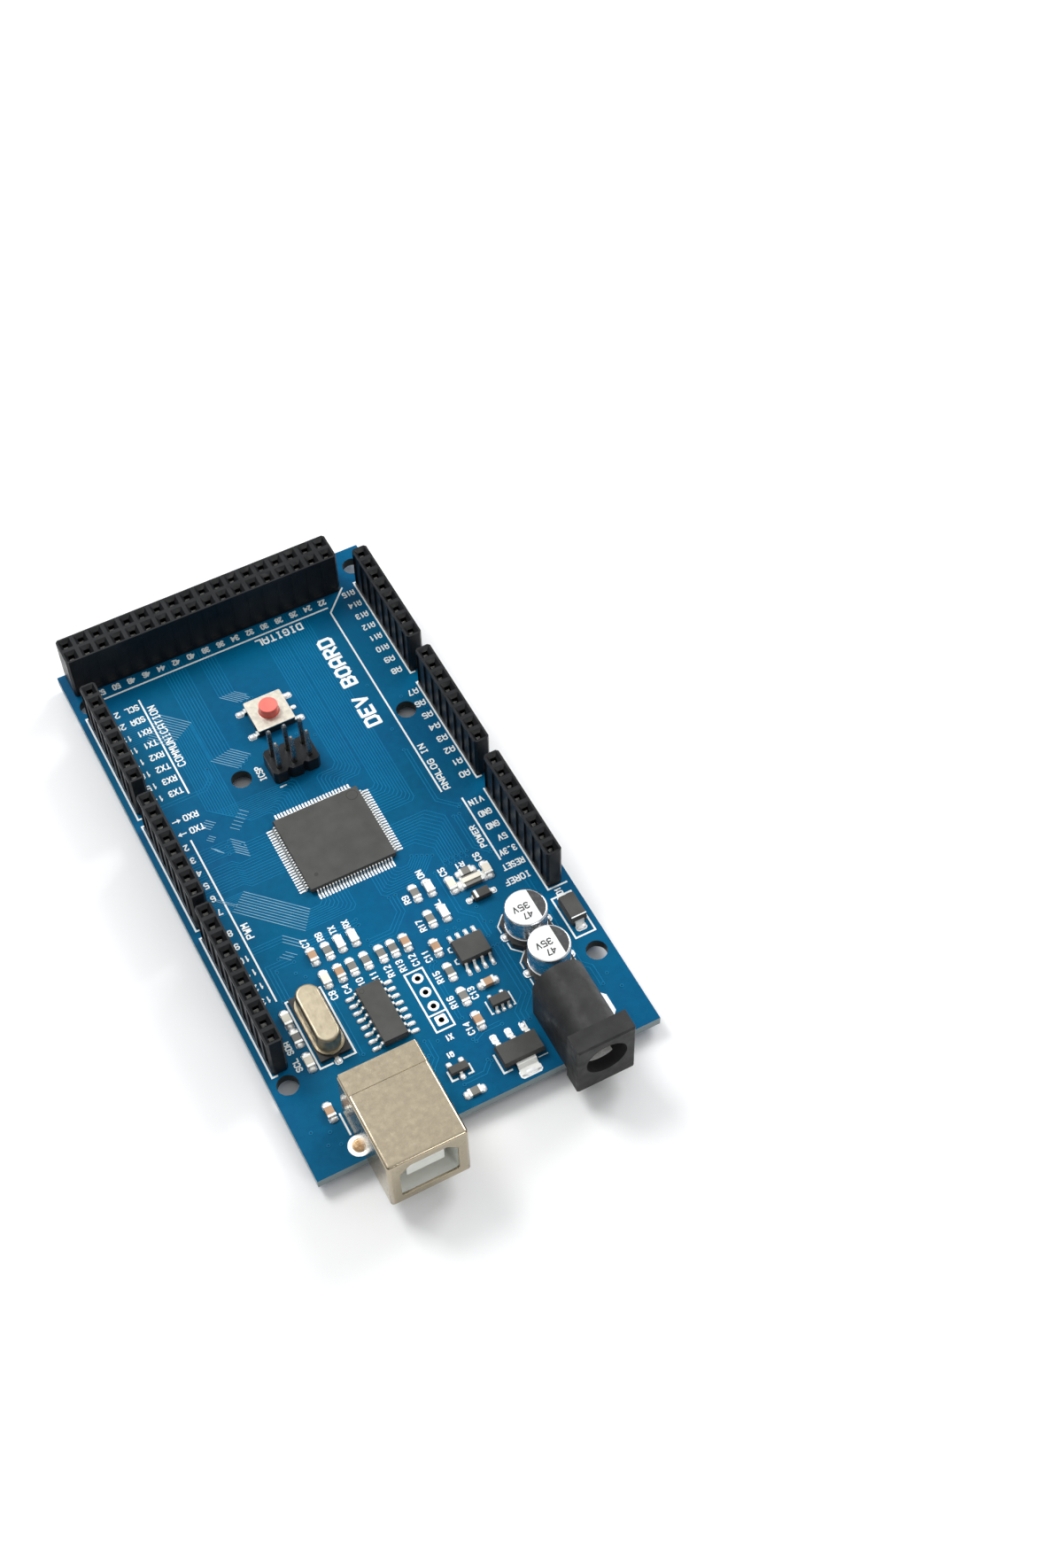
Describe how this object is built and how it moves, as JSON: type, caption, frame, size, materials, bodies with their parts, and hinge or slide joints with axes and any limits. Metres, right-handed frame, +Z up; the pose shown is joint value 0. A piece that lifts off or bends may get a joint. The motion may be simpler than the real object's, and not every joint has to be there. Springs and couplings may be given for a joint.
{
  "type": "microcontroller development board",
  "caption": "Blue microcontroller development board with black stacking header sockets, a square USB port, a barrel power jack and a reset button that presses down.",
  "frame": {"origin": "under the middle of the assembly's outline, USB port included, on the plane that the solder tails rest on", "axes": "+X across the board towards the power and analog headers, +Y along it away from the USB port, +Z up out of its component side"},
  "size_m": [0.0534, 0.1082, 0.0139],
  "materials": {
    "blue_board": "semi-gloss solder mask over glass-epoxy laminate",
    "black_header": "satin moulded plastic",
    "tinned_contact": "tin plate",
    "solder": "bright solder",
    "bright_pin": "polished plate",
    "nickel_shell": "warm satin nickel",
    "white_insulator": "satin moulded plastic",
    "gilt_contact": "gold flash",
    "jack_black": "satin moulded plastic",
    "can_aluminium": "satin drawn aluminium",
    "black_base": "matt moulded plastic",
    "package_black": "fine-grained epoxy",
    "resistor_grey": "glazed ceramic",
    "capacitor_tan": "fired ceramic",
    "led_white": "clear resin over white",
    "resonator_grey": "fired ceramic",
    "crystal_nickel": "satin nickel",
    "switch_cover": "satin cream",
    "coral_button": "satin moulded plastic"
  },
  "bodies": {
    "board": {"pcb": "blue_board", "digital_header_housing": "black_header", "communication_header_housing": "black_header", "power_header_housing": "black_header", "analog_near_header_housing": "black_header", "analog_far_header_housing": "black_header", "double_header_housing": "black_header", "digital_header_contacts": "tinned_contact", "communication_header_contacts": "tinned_contact", "power_header_contacts": "tinned_contact", "analog_near_header_contacts": "tinned_contact", "analog_far_header_contacts": "tinned_contact", "double_header_contacts": "tinned_contact", "header_solder_joints": "solder", "connector_solder_joints": "solder", "icsp_base": "black_header", "icsp_pins": "bright_pin", "usb_shell": "nickel_shell", "usb_insulator": "white_insulator", "usb_contacts": "gilt_contact", "jack_housing": "jack_black", "jack_center_pin": "bright_pin", "jack_spring_contact": "tinned_contact", "jack_switch_contact": "tinned_contact", "capacitor_cans": "can_aluminium", "capacitor_bases": "black_base", "capacitor_leads": "tinned_contact", "mcu_body": "package_black", "mcu_leads": "tinned_contact", "usb_chip_body": "package_black", "usb_chip_leads": "tinned_contact", "comparator_body": "package_black", "comparator_leads": "tinned_contact", "regulator_body": "package_black", "regulator_leads": "tinned_contact", "small_regulator_body": "package_black", "small_regulator_leads": "tinned_contact", "transistor_body": "package_black", "transistor_leads": "tinned_contact", "power_diode_body": "package_black", "power_diode_leads": "tinned_contact", "signal_diode_body": "package_black", "signal_diode_leads": "tinned_contact", "resistor_bodies": "resistor_grey", "resistor_terminals": "tinned_contact", "ceramic_capacitor_bodies": "capacitor_tan", "ceramic_capacitor_terminals": "tinned_contact", "led_bodies": "led_white", "led_terminals": "tinned_contact", "resonator_body": "resonator_grey", "resonator_terminals": "tinned_contact", "crystal_can": "crystal_nickel", "crystal_base": "black_base", "crystal_leads": "tinned_contact", "reset_base": "black_base", "reset_cover": "switch_cover", "reset_dome": "bright_pin", "reset_leads": "tinned_contact"},
    "reset_button": {"reset_plunger": "coral_button"}
  },
  "joints": [
    {"name": "reset_press", "type": "slide", "parent": "board", "child": "reset_button", "axis": [0, 0, -1], "range_m": [0, 0.00025], "stiffness_N_per_m": 2000, "springref_m": -0.0005, "deforming": ["reset_dome"]}
  ]
}
